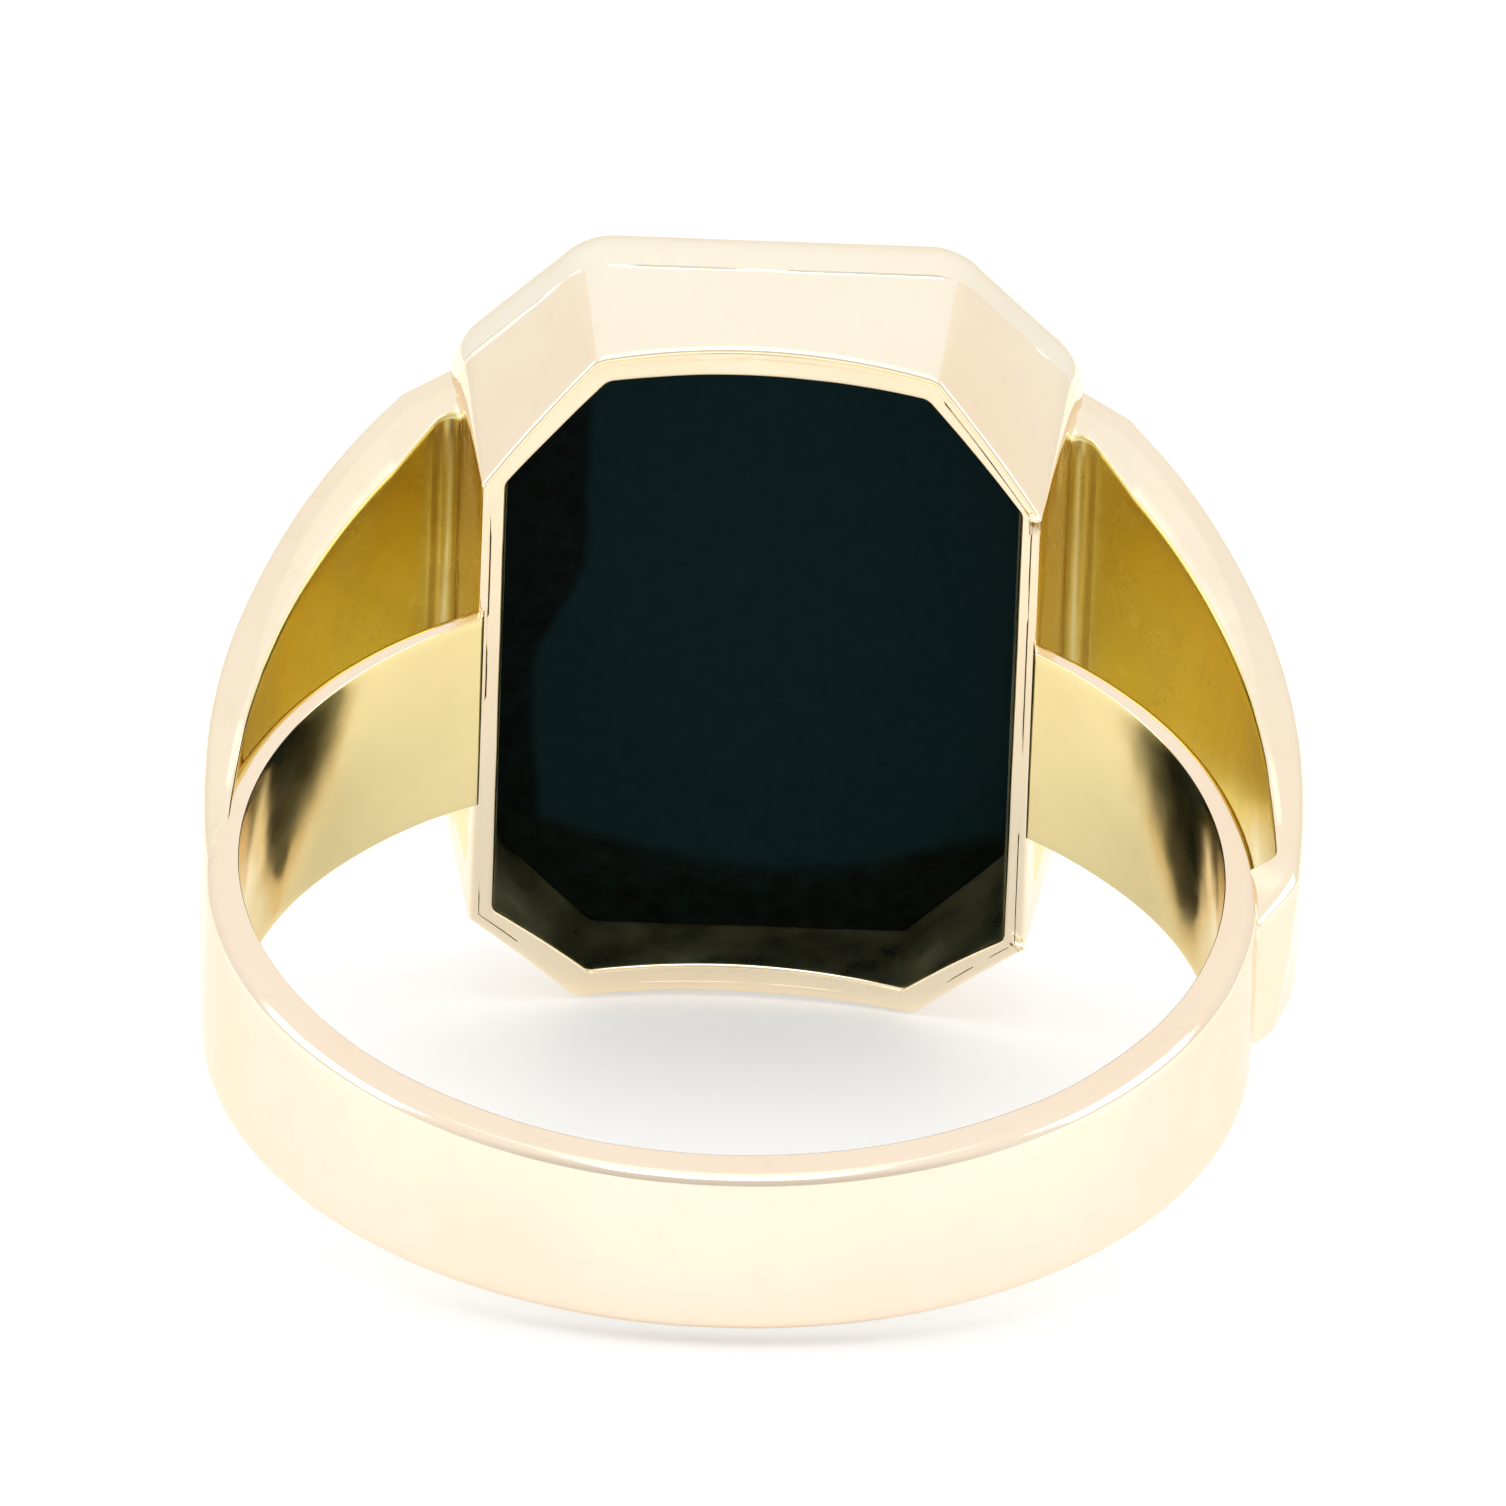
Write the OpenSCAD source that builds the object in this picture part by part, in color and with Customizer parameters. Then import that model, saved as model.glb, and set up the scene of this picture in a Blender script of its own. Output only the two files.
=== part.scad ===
// Signet ring with an open-backed, cut-corner octagonal head set with a black
// tablet, two split shoulders and a plain tapering band.
//
// Ring coordinates used by every module below:
//   x  across the band, left shoulder to right shoulder
//   y  from the back of the band towards the head
//   z  along the finger
// The whole ring is then leant forward by tilt, so that it lies on its side
// with the head's lower rim and the back of the band both on one flat surface.
// The origin stays at the centre of the finger hole.

/* [Band] */
// Radius of the finger hole
finger_r = 10; // [9:0.1:11]
// Band width at the back
band_w_back = 3.8; // [3.4:0.1:4.2]
// Band width where it meets the head
band_w_head = 4.64; // [4.4:0.1:5]
// Band thickness at the back
band_t_back = 0.96; // [0.8:0.02:1.2]
// Band thickness under the shoulders
band_t_head = 0.5; // [0.4:0.02:0.6]
// Edge break on the outside of the band
band_edge = 0.25; // [0.1:0.05:0.35]

/* [Head] */
// Sideways offset of the hand-soldered head from the finger hole
head_shift = 0.4; // [0:0.1:0.6]
// Half width of the head walls at the back edge
wall_w_back = 5.7; // [5.4:0.1:6]
// Half height of the head walls at the back edge
wall_h_back = 7.65; // [7.2:0.1:8]
// Half width of the head walls at the front
wall_w_front = 6.36; // [6.2:0.02:6.5]
// Half height of the head walls at the front
wall_h_front = 8.28; // [8:0.02:8.6]
// Corner cut at the back edge
cut_back = 2.3; // [1.8:0.1:2.6]
// Corner cut at the front
cut_front = 3; // [2.8:0.1:3.2]
// Radius of the hollow cut across the back edge of the head
saddle_r = 10.3; // [10.1:0.1:10.5]
// Thickness of the outer wall sheet
wall_t = 0.28; // [0.2:0.02:0.34]
// Distance from the finger axis to the front edge of the wall
wall_front_y = 12.8; // [12.4:0.1:13.2]

/* [Rim and stone] */
// Half width of the rim moulding
rim_w = 6.5; // [6.45:0.05:6.8]
// Half height of the rim moulding
rim_h = 8.45; // [8.4:0.05:8.9]
// Corner cut of the rim moulding
rim_cut = 2.55; // [2.4:0.05:2.8]
// Distance from the finger axis to the front of the rim
rim_front_y = 14.35; // [14.1:0.05:14.6]
// Half width of the stone
stone_w = 5.7; // [5.6:0.05:5.8]
// Half height of the stone
stone_h = 7.6; // [7.4:0.05:7.7]
// Corner cut of the stone
stone_cut = 2.6; // [2.5:0.1:2.8]
// Distance from the finger axis to the back of the stone
stone_back_y = 11.8; // [11.6:0.1:12]
// Distance from the finger axis to the face of the stone
stone_face_y = 14.7; // [14.5:0.1:15]
// Half width of the opening behind the stone
open_w = 5.25; // [5:0.05:5.4]
// Half height of the opening behind the stone
open_h = 7.24; // [7:0.02:7.3]
// Corner cut of the opening behind the stone
open_cut = 2; // [1.8:0.1:2.2]

/* [Shoulders] */
// Half width of a shoulder where it starts to leave the band
shoulder_hw = 2.45; // [2.3:0.05:2.6]
// Growth of that half width per millimetre towards the head
shoulder_flare = 0.195; // [0.15:0.005:0.22]
// Crown of the outer face
shoulder_crown = 0.16; // [0.05:0.01:0.2]
// Bevel along both edges of the outer face
shoulder_bevel = 0.45; // [0.2:0.05:0.6]
// Angle at which the right hollow ends, above the middle of the hole
hollow_end = 6; // [4:1:10]

/* [Hidden] */
$fn = 96;
eps = 0.01;

// The outside of the band is one circle, set back from the finger hole, so the
// band thins steadily from the back to the head.
band_c = (band_t_back - band_t_head) / 1.9;
band_r = finger_r + band_t_back - band_c;
// Half width of the band at a station y
band_m = (band_w_head - band_w_back) / 2 / 19;
function band_hw(y) = band_w_back / 2 + band_m * (y + finger_r);
band_tilt = atan(band_m);

// Lying on its side: the line from the band's lower back edge to the rim's
// lower rear edge is made level.
rim_lip = 0.08;
rest_y = finger_r + band_t_back - band_edge;
tilt = atan((wall_h_front + rim_lip - band_hw(-rest_y)) / (wall_front_y + rest_y));

gold = "#f0cf86";
gold_in = "#d9ab4e";

// An octagon with half width w, half height h and cut corners c
module oct(w, h, c)
    polygon([[w, h - c], [w - c, h], [c - w, h], [-w, h - c],
             [-w, c - h], [c - w, -h], [w - c, -h], [w, c - h]]);

// A thin octagonal slice that starts at station y and faces the head
module slice(y, w, h, c)
    translate([head_shift, y, 0]) rotate([-90, 0, 0]) linear_extrude(eps) oct(w, h, c);

function lerp(a, b, t) = a + (b - a) * t;
function wall_f(y) = (y - 8.4) / (wall_front_y - 8.4);
function ww(y) = lerp(wall_w_back, wall_w_front, wall_f(y));
function wh(y) = lerp(wall_h_back, wall_h_front, wall_f(y));
function wc(y) = lerp(cut_back, cut_front, wall_f(y));

// The flared octagonal body of the head between two stations, drawn in by t
module flare(y0, y1, t)
    hull() {
        slice(y0, ww(y0) - t, wh(y0) - t, wc(y0) - t * 0.586);
        slice(y1 - eps, ww(y1) - t, wh(y1) - t, wc(y1) - t * 0.586);
    }

// The hollow across the back edge of the head, where the finger lies
module saddle()
    cylinder(r = saddle_r, h = 40, center = true);

// Everything that the head occupies, used to end the band and the shoulders
module head_envelope() {
    flare(5, wall_front_y, 0);
    rim_outside();
}

module rim_outside()
    hull() {
        slice(wall_front_y, wall_w_front + rim_lip, wall_h_front + rim_lip, cut_front - 0.35);
        slice(wall_front_y + 0.4, rim_w, rim_h, rim_cut);
        slice(rim_front_y - 0.75, rim_w, rim_h, rim_cut);
        slice(rim_front_y - 0.2, rim_w - 0.25, rim_h - 0.25, rim_cut - 0.1);
        slice(rim_front_y - eps, rim_w - 0.5, rim_h - 0.5, rim_cut - 0.2);
    }

// The tablet: straight sides, then a bevel up to the flat face
module stone_body(g) {
    hull() {
        slice(stone_back_y, stone_w + g, stone_h + g, stone_cut);
        slice(13.7, stone_w + g, stone_h + g, stone_cut);
        slice(stone_face_y - eps, stone_w - 0.75 + g, stone_h - 0.75 + g, stone_cut - 0.3);
    }
}

// A plug with a broken upper edge, whose flat top follows the band's sloping
// upper edge. The band lies under this plug and over its mirror image. The
// seam angle keeps the seams of the two plugs and the band apart.
module band_plug(seam)
    translate([0, -band_c, band_hw(0)]) rotate([band_tilt, 0, 0]) rotate([0, 0, seam])
        rotate_extrude($fn = 128) polygon([
            [0, -12], [band_r + 0.6, -12], [band_r + 0.6, -band_edge - 0.6],
            [band_r - band_edge, 0], [0, 0]]);

module shank_solid()
    intersection() {
        intersection() {
            rotate([0, 0, 71]) linear_extrude(7, center = true) difference() {
                rotate(-71) translate([0, -band_c]) circle(r = band_r, $fn = 128);
                circle(r = finger_r, $fn = 128);
            }
            band_plug(23);
        }
        mirror([0, 0, 1]) band_plug(50);
    }

module shank_band()
    color(gold) rotate([tilt, 0, 0])
        difference() {
            shank_solid();
            head_envelope();
            // the open space behind the head
            translate([head_shift - 4.4, 4, -6]) cube([8.8, 12, 12]);
        }

// Shoulder outline, in degrees round the hole from the side of the ring:
// outer face, inner face and half width
function sh_out(a) = 11.18 + 0.0068 * pow(max(a, 0), 1.575);
function sh_in(a) = a > hollow_end ? 10.65 + 0.00095 * pow(a, 1.98) : 10.2;
function sh_half(y) = shoulder_hw + (y > 2 ? shoulder_flare : 0.08) * (y - 2);

// One cross-section of a shoulder: ten points, inner edge first
function sh_section(a) = let (
        ro = sh_out(a), ri = sh_in(a), h = sh_half(ro * sin(a)),
        b = shoulder_bevel, l = min(0.22, 0.1 + a * 0.01),
        p = [[ri, h], [ri + l, h], [ro - shoulder_crown, h - b],
             [ro - shoulder_crown * 0.25, (h - b) / 2], [ro, 0],
             [ro - shoulder_crown * 0.25, (b - h) / 2],
             [ro - shoulder_crown, b - h], [ri + l, -h], [ri, -h], [ri, 0]])
    [for (q = p) [q[0] * cos(a), q[0] * sin(a), q[1]]];

module shoulder_sweep() {
    st = concat([-3, -1, 1, 3.5, hollow_end - 0.2, hollow_end + 0.2],
                [for (a = [8.5 : 2.5 : 68.5]) a]);
    n = len(st);
    m = 10;
    pts = [for (a = st) each sh_section(a)];
    sides = [for (i = [0 : n - 2], j = [0 : m - 1])
        [i * m + j, (i + 1) * m + j, (i + 1) * m + (j + 1) % m, i * m + (j + 1) % m]];
    polyhedron(pts, concat([[for (j = [0 : m - 1]) j]], sides,
                           [[for (j = [m - 1 : -1 : 0]) (n - 1) * m + j]]), convexity = 6);
}

// s = 1 for the right shoulder and -1 for the left one
module shoulder(s)
    color(gold) rotate([tilt, 0, 0])
        difference() {
            translate([head_shift, 0, 0])
                if (s > 0) shoulder_sweep(); else mirror([1, 0, 0]) shoulder_sweep();
            translate([0, -band_c, 0]) rotate([0, 0, 71])
                cylinder(r = band_r, h = 30, center = true, $fn = 128);
            head_envelope();
            // stops short of the front of the rim
            translate([-20, rim_front_y - 0.45, -20]) cube(40);
        }

module shoulder_left() shoulder(-1);
module shoulder_right() shoulder(1);

// Outer sheet of the head, hollowed to follow the finger along its back edge
module bezel_wall()
    color(gold) rotate([tilt, 0, 0])
        difference() {
            flare(7, wall_front_y, 0);
            flare(5, wall_front_y + 1, wall_t);
            saddle();
        }

// Inner liner: its front edge is the ledge that the stone rests on
module stone_seat()
    color(gold_in) rotate([tilt, 0, 0])
        difference() {
            flare(7, stone_back_y, wall_t);
            hull() {
                slice(5, open_w, open_h, open_cut);
                slice(stone_back_y + 1, open_w, open_h, open_cut);
            }
            saddle();
        }

// Rounded moulding round the front, closed over the bevel of the stone
module bezel_rim()
    color(gold) rotate([tilt, 0, 0])
        difference() {
            rim_outside();
            stone_body(0);
        }

module onyx_tablet()
    color("#10191d") rotate([tilt, 0, 0]) stone_body(0);

shank_band();
shoulder_left();
shoulder_right();
bezel_wall();
stone_seat();
bezel_rim();
onyx_tablet();
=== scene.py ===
import math

import bmesh
import bpy
import numpy as np
from mathutils import Matrix, Vector, noise


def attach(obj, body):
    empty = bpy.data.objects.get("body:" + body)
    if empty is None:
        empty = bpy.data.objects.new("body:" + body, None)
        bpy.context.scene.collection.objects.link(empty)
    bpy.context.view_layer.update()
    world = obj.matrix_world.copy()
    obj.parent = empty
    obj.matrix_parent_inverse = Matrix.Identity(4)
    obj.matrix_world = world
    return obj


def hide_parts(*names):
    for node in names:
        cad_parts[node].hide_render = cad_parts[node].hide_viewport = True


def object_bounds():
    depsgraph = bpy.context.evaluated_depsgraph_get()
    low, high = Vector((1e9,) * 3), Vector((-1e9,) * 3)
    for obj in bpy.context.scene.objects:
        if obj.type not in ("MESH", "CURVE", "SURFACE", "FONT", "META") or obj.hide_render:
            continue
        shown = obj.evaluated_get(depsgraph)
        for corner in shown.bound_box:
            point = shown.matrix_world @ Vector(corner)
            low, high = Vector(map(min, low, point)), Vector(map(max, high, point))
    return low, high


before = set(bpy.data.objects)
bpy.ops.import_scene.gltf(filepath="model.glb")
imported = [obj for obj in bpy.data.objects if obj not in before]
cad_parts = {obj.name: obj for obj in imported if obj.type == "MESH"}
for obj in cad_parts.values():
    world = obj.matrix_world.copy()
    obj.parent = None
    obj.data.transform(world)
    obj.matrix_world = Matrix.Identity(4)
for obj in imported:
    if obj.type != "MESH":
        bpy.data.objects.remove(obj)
cad_lo, cad_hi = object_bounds()
MM = 0.001

# ---------------------------------------------------------------- CAD sizes
# The same sizes and curves as the CAD, in millimetres, in ring coordinates:
# x across, y from the back of the band to the head, z along the finger.
FINGER_R = 10.0
BAND_W_BACK, BAND_W_HEAD = 3.8, 4.64
BAND_T_BACK, BAND_T_HEAD, BAND_EDGE = 0.96, 0.5, 0.25
SHIFT = 0.4
WALL_W0, WALL_H0, CUT0 = 5.7, 7.65, 2.3
WALL_W1, WALL_H1, CUT1 = 6.36, 8.28, 3.0
WALL_T, WALL_Y1, SADDLE_R = 0.28, 12.8, 10.3
RIM_W, RIM_H, RIM_CUT, RIM_Y1 = 6.5, 8.45, 2.55, 14.35
STONE_W, STONE_H, STONE_CUT = 5.7, 7.6, 2.6
STONE_Y0, STONE_Y1 = 11.8, 14.7
OPEN_W, OPEN_H, OPEN_CUT = 5.25, 7.24, 2.0
SH_HW, SH_FLARE = 2.45, 0.195
HOLLOW_END = 6.0

BAND_C = (BAND_T_BACK - BAND_T_HEAD) / 1.9
BAND_R = FINGER_R + BAND_T_BACK - BAND_C
BAND_M = (BAND_W_HEAD - BAND_W_BACK) / 2 / 19


def band_hw(y):
    return BAND_W_BACK / 2 + BAND_M * (y + FINGER_R)


REST_Y = FINGER_R + BAND_T_BACK - BAND_EDGE
TILT = math.atan((WALL_H1 + 0.08 - band_hw(-REST_Y)) / (WALL_Y1 + REST_Y))
ROT = np.array(
    [
        [1, 0, 0],
        [0, math.cos(TILT), -math.sin(TILT)],
        [0, math.sin(TILT), math.cos(TILT)],
    ]
)


def lerp(a, b, t):
    return a + (b - a) * t


def smooth(a, b, t):
    t = min(max((t - a) / (b - a), 0.0), 1.0)
    return t * t * (3 - 2 * t)


# ---------------------------------------------------------------- mesh tools
def rounded(corners, radii, segs, subs):
    """A closed outline with its corners turned into arcs. The number of
    points is the same for every call with the same segs and subs."""
    out = []
    n = len(corners)
    ends = []
    for i in range(n):
        p = np.array(corners[i], float)
        a = np.array(corners[i - 1], float) - p
        b = np.array(corners[(i + 1) % n], float) - p
        la, lb = np.linalg.norm(a), np.linalg.norm(b)
        a, b = a / la, b / lb
        half = math.acos(max(-1.0, min(1.0, float(a @ b)))) / 2
        if half > 1.5:
            half = 1.5
        t = min(radii[i] / math.tan(half), 0.46 * la, 0.46 * lb)
        r = t * math.tan(half)
        mid = a + b
        nm = np.linalg.norm(mid)
        if nm < 1e-6 or r < 1e-6:
            ends.append([p + a * t * (1 - k / segs[i]) + b * t * (k / segs[i]) for k in range(segs[i] + 1)])
            continue
        c = p + mid / nm * (r / math.sin(half))
        u, v = p + a * t - c, p + b * t - c
        ang = math.pi - 2 * half
        s = math.sin(ang)
        ends.append(
            [
                c + (math.sin(ang * (1 - k / segs[i])) * u + math.sin(ang * k / segs[i]) * v) / s
                for k in range(segs[i] + 1)
            ]
        )
    for i in range(n):
        out += ends[i]
        p, q = ends[i][-1], ends[(i + 1) % n][0]
        out += [lerp(p, q, k / subs[i]) for k in range(1, subs[i])]
    return np.array(out)


def octagon(w, h, c, r, na=6, ns=(10, 8)):
    """Cut-corner octagon, counter-clockwise from its right side, in x and z."""
    pts = [(w, c - h), (w, h - c), (w - c, h), (c - w, h), (-w, h - c), (-w, c - h), (c - w, -h), (w - c, -h)]
    subs = [ns[0], ns[1], ns[0], ns[1], ns[0], ns[1], ns[0], ns[1]]
    return rounded(pts, [r] * 8, [na] * 8, subs)


def loft(rings, close=False, cap0=True, cap1=True):
    """Faces between rings of the same number of points."""
    n, m = len(rings), len(rings[0])
    V = np.concatenate(rings)
    F = []
    for i in range(n if close else n - 1):
        a, b = i * m, ((i + 1) % n) * m
        for j in range(m):
            k = (j + 1) % m
            F.append((a + j, a + k, b + k, b + j))
    if not close:
        if cap0:
            F.append(tuple(range(m - 1, -1, -1)))
        if cap1:
            F.append(tuple((n - 1) * m + j for j in range(m)))
    return V, F


def wobble(p, amp, scale, seed):
    q = Vector((float(p[0]) * scale + seed, float(p[1]) * scale - seed, float(p[2]) * scale + 2 * seed))
    return amp * noise.noise(q)


def build(name, V, F, mats, face_mat=None, hand=0.0, hand_scale=0.6, seed=1.0, tone=None):
    """A mesh object from ring coordinates in millimetres. hand is the size in
    millimetres of the slight unevenness of hand work, along the normals."""
    V = np.asarray(V, float)
    me = bpy.data.meshes.new(name)
    me.from_pydata([tuple(v) for v in (V @ ROT.T) * MM], [], F)
    bm = bmesh.new()
    bm.from_mesh(me)
    bmesh.ops.remove_doubles(bm, verts=bm.verts, dist=1e-7)
    bmesh.ops.recalc_face_normals(bm, faces=bm.faces)
    if hand > 0:
        bm.normal_update()
        moves = []
        for v in bm.verts:
            q = v.co / MM
            d = wobble(q, 1.0, hand_scale, seed) + 0.35 * wobble(q, 1.0, hand_scale * 3.1, seed + 7)
            moves.append(v.normal * (hand * (d - 0.55) * MM))
        for v, mv in zip(bm.verts, moves):
            v.co += mv
    bm.to_mesh(me)
    bm.free()
    me.polygons.foreach_set("use_smooth", [True] * len(me.polygons))
    for m in mats:
        me.materials.append(m)
    if face_mat is not None:
        inv = ROT.T
        for p in me.polygons:
            c = inv @ (np.array(p.center) / MM)
            nn = inv @ np.array(p.normal)
            p.material_index = face_mat(c, nn)
    me.update()
    ob = bpy.data.objects.new(name, me)
    bpy.context.scene.collection.objects.link(ob)
    return ob


# ---------------------------------------------------------------- materials
def new_mat(name):
    m = bpy.data.materials.new(name)
    m.use_nodes = True
    nt = m.node_tree
    nt.nodes.clear()
    out = nt.nodes.new("ShaderNodeOutputMaterial")
    bsdf = nt.nodes.new("ShaderNodeBsdfPrincipled")
    nt.links.new(bsdf.outputs[0], out.inputs[0])
    return m, nt, bsdf


def noise_node(nt, scale, detail=4.0, rough=0.55, stretch=None, distortion=0.0):
    tc = nt.nodes.new("ShaderNodeTexCoord")
    n = nt.nodes.new("ShaderNodeTexNoise")
    n.inputs["Scale"].default_value = scale
    n.inputs["Detail"].default_value = detail
    n.inputs["Roughness"].default_value = rough
    n.inputs["Distortion"].default_value = distortion
    if stretch:
        mp = nt.nodes.new("ShaderNodeMapping")
        mp.inputs["Rotation"].default_value = stretch[1]
        mp.inputs["Scale"].default_value = stretch[0]
        nt.links.new(tc.outputs["Object"], mp.inputs[0])
        nt.links.new(mp.outputs[0], n.inputs["Vector"])
    else:
        nt.links.new(tc.outputs["Object"], n.inputs["Vector"])
    return n.outputs["Fac"]


def ramp(nt, fac, stops):
    r = nt.nodes.new("ShaderNodeValToRGB")
    cr = r.color_ramp
    while len(cr.elements) < len(stops):
        cr.elements.new(0.5)
    for e, (pos, col) in zip(cr.elements, stops):
        e.position = pos
        e.color = col if len(col) == 4 else (*col, 1)
    nt.links.new(fac, r.inputs[0])
    return r.outputs[0]


def mix_col(nt, fac, a, b, kind="MIX"):
    n = nt.nodes.new("ShaderNodeMix")
    n.data_type = "RGBA"
    n.blend_type = kind
    for sock, val in ((n.inputs[0], fac), (n.inputs[6], a), (n.inputs[7], b)):
        if hasattr(val, "links"):
            nt.links.new(val, sock)
        elif isinstance(val, (int, float)):
            sock.default_value = val
        else:
            sock.default_value = (*val, 1)
    return n.outputs[2]


def gold(name, light, warm, rough=(0.05, 0.14), bump=0.35, scratch=0.35, spots=None):
    """Polished gold: two close tones in soft patches, hairline scratches in
    two directions, small pits, and a roughness that follows the wear."""
    m, nt, b = new_mat(name)
    b.inputs["Metallic"].default_value = 1.0
    # the worn surface keeps its colour at grazing angles
    b.inputs["Specular Tint"].default_value = (0.96, 0.905, 0.81, 1)
    patches = noise_node(nt, 170.0, 3.0, 0.5)
    fine = noise_node(nt, 1400.0, 5.0, 0.6)
    col = mix_col(nt, ramp(nt, patches, [(0.35, (0, 0, 0)), (0.68, (1, 1, 1))]), light, warm)
    dusk = tuple(c * 0.93 for c in warm)
    col = mix_col(nt, ramp(nt, fine, [(0.55, (0, 0, 0)), (0.85, (0.55, 0.55, 0.55))]), col, dusk)
    if spots:
        vor = noise_node(nt, 620.0, 2.0, 0.4)
        col = mix_col(nt, ramp(nt, vor, [(0.66, (0, 0, 0)), (0.74, (1, 1, 1))]), col, spots)
    nt.links.new(col, b.inputs["Base Color"])
    # roughness
    r1 = noise_node(nt, 420.0, 4.0, 0.6)
    rr = nt.nodes.new("ShaderNodeMapRange")
    rr.inputs["From Min"].default_value = 0.35
    rr.inputs["From Max"].default_value = 0.7
    rr.inputs["To Min"].default_value = rough[0]
    rr.inputs["To Max"].default_value = rough[1]
    nt.links.new(r1, rr.inputs["Value"])
    nt.links.new(rr.outputs[0], b.inputs["Roughness"])
    # scratches and hand-work waves
    s1 = noise_node(nt, 900.0, 3.0, 0.6, ((0.04, 1.0, 3.0), (0.2, 0.5, 0.35)))
    s2 = noise_node(nt, 1100.0, 3.0, 0.6, ((2.4, 0.05, 1.0), (0.7, 0.1, -0.6)))
    waves = noise_node(nt, 320.0, 2.0, 0.5)
    add = nt.nodes.new("ShaderNodeMath"); add.operation = "ADD"
    nt.links.new(ramp(nt, s1, [(0.58, (0, 0, 0)), (0.74, (1, 1, 1))]), add.inputs[0])
    nt.links.new(ramp(nt, s2, [(0.60, (0, 0, 0)), (0.76, (1, 1, 1))]), add.inputs[1])
    bp1 = nt.nodes.new("ShaderNodeBump")
    bp1.inputs["Strength"].default_value = scratch
    bp1.inputs["Distance"].default_value = 0.0000012
    bp1.invert = True
    nt.links.new(add.outputs[0], bp1.inputs["Height"])
    bp2 = nt.nodes.new("ShaderNodeBump")
    bp2.inputs["Strength"].default_value = bump
    bp2.inputs["Distance"].default_value = 0.00002
    nt.links.new(waves, bp2.inputs["Height"])
    nt.links.new(bp1.outputs[0], bp2.inputs["Normal"])
    nt.links.new(bp2.outputs[0], b.inputs["Normal"])
    return m


GOLD = gold("gold_polished", (0.945, 0.835, 0.665), (0.94, 0.805, 0.615))
GOLD_BAND = gold("gold_band", (0.95, 0.81, 0.65), (0.945, 0.78, 0.60))
GOLD_WALL = gold("gold_head_wall", (0.96, 0.845, 0.665), (0.955, 0.79, 0.58), rough=(0.07, 0.17), bump=0.5)
# painted light: a brighter copy of the gold for the back edges, lifting the shaded floor under the ring that they
# reflect
GOLD_EDGE_LIGHT = gold("gold_back_edge_painted_light", (0.995, 0.86, 0.65), (0.985, 0.82, 0.59), rough=(0.07, 0.16), bump=0.5)
# painted highlight: a paler copy of the gold for the rim and the end facets, standing in for the bright light they
# reflect
GOLD_RIM_HIGHLIGHT = gold("gold_rim_painted_highlight", (0.965, 0.90, 0.76), (0.96, 0.87, 0.71), rough=(0.07, 0.17), bump=0.5)
# painted reflection: a saturated yellow copy of the gold for the band's inner face, standing in for the gold faces it
# reflects
GOLD_INNER_REFLECTION = gold("gold_band_inside_painted_reflection", (0.975, 0.825, 0.43), (0.95, 0.785, 0.39), rough=(0.10, 0.20), bump=0.45)
# painted shade: a darker, amber copy of the gold for the faces inside the hollows, standing in for their shade and for
# light bounced between the gold faces
GOLD_HOLLOW_SHADE = gold("gold_hollows_painted_shade", (0.885, 0.80, 0.39), (0.765, 0.68, 0.24), rough=(0.18, 0.32), bump=0.6, scratch=0.15,
                 spots=(0.97, 0.88, 0.55))
# painted reflection: a saturated amber copy of the gold for the head's sides inside the hollows, standing in for the
# gold faces they reflect
GOLD_SIDE_REFLECTION = gold("gold_head_side_painted_reflection", (0.985, 0.86, 0.45), (0.965, 0.82, 0.38), rough=(0.24, 0.38), bump=0.6, scratch=0.3)
# the solder fillets and patches: their own duller tone, made darker still as painted shade of the deep crease and the
# hollow's end
GOLD_SOLDER_AND_SHADE = gold("gold_solder_fillet_and_painted_shade", (0.79, 0.665, 0.31), (0.60, 0.475, 0.17), rough=(0.26, 0.42), bump=0.9, scratch=0.2,
                   spots=(0.95, 0.84, 0.50))
# painted shade: a dark, greenish copy of the gold for the stone seat, standing in for its shade and the black stone it
# reflects
GOLD_SEAT_SHADE = gold("gold_stone_seat_painted_shade", (0.80, 0.76, 0.47), (0.50, 0.50, 0.27), rough=(0.24, 0.50), bump=1.0)


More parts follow.
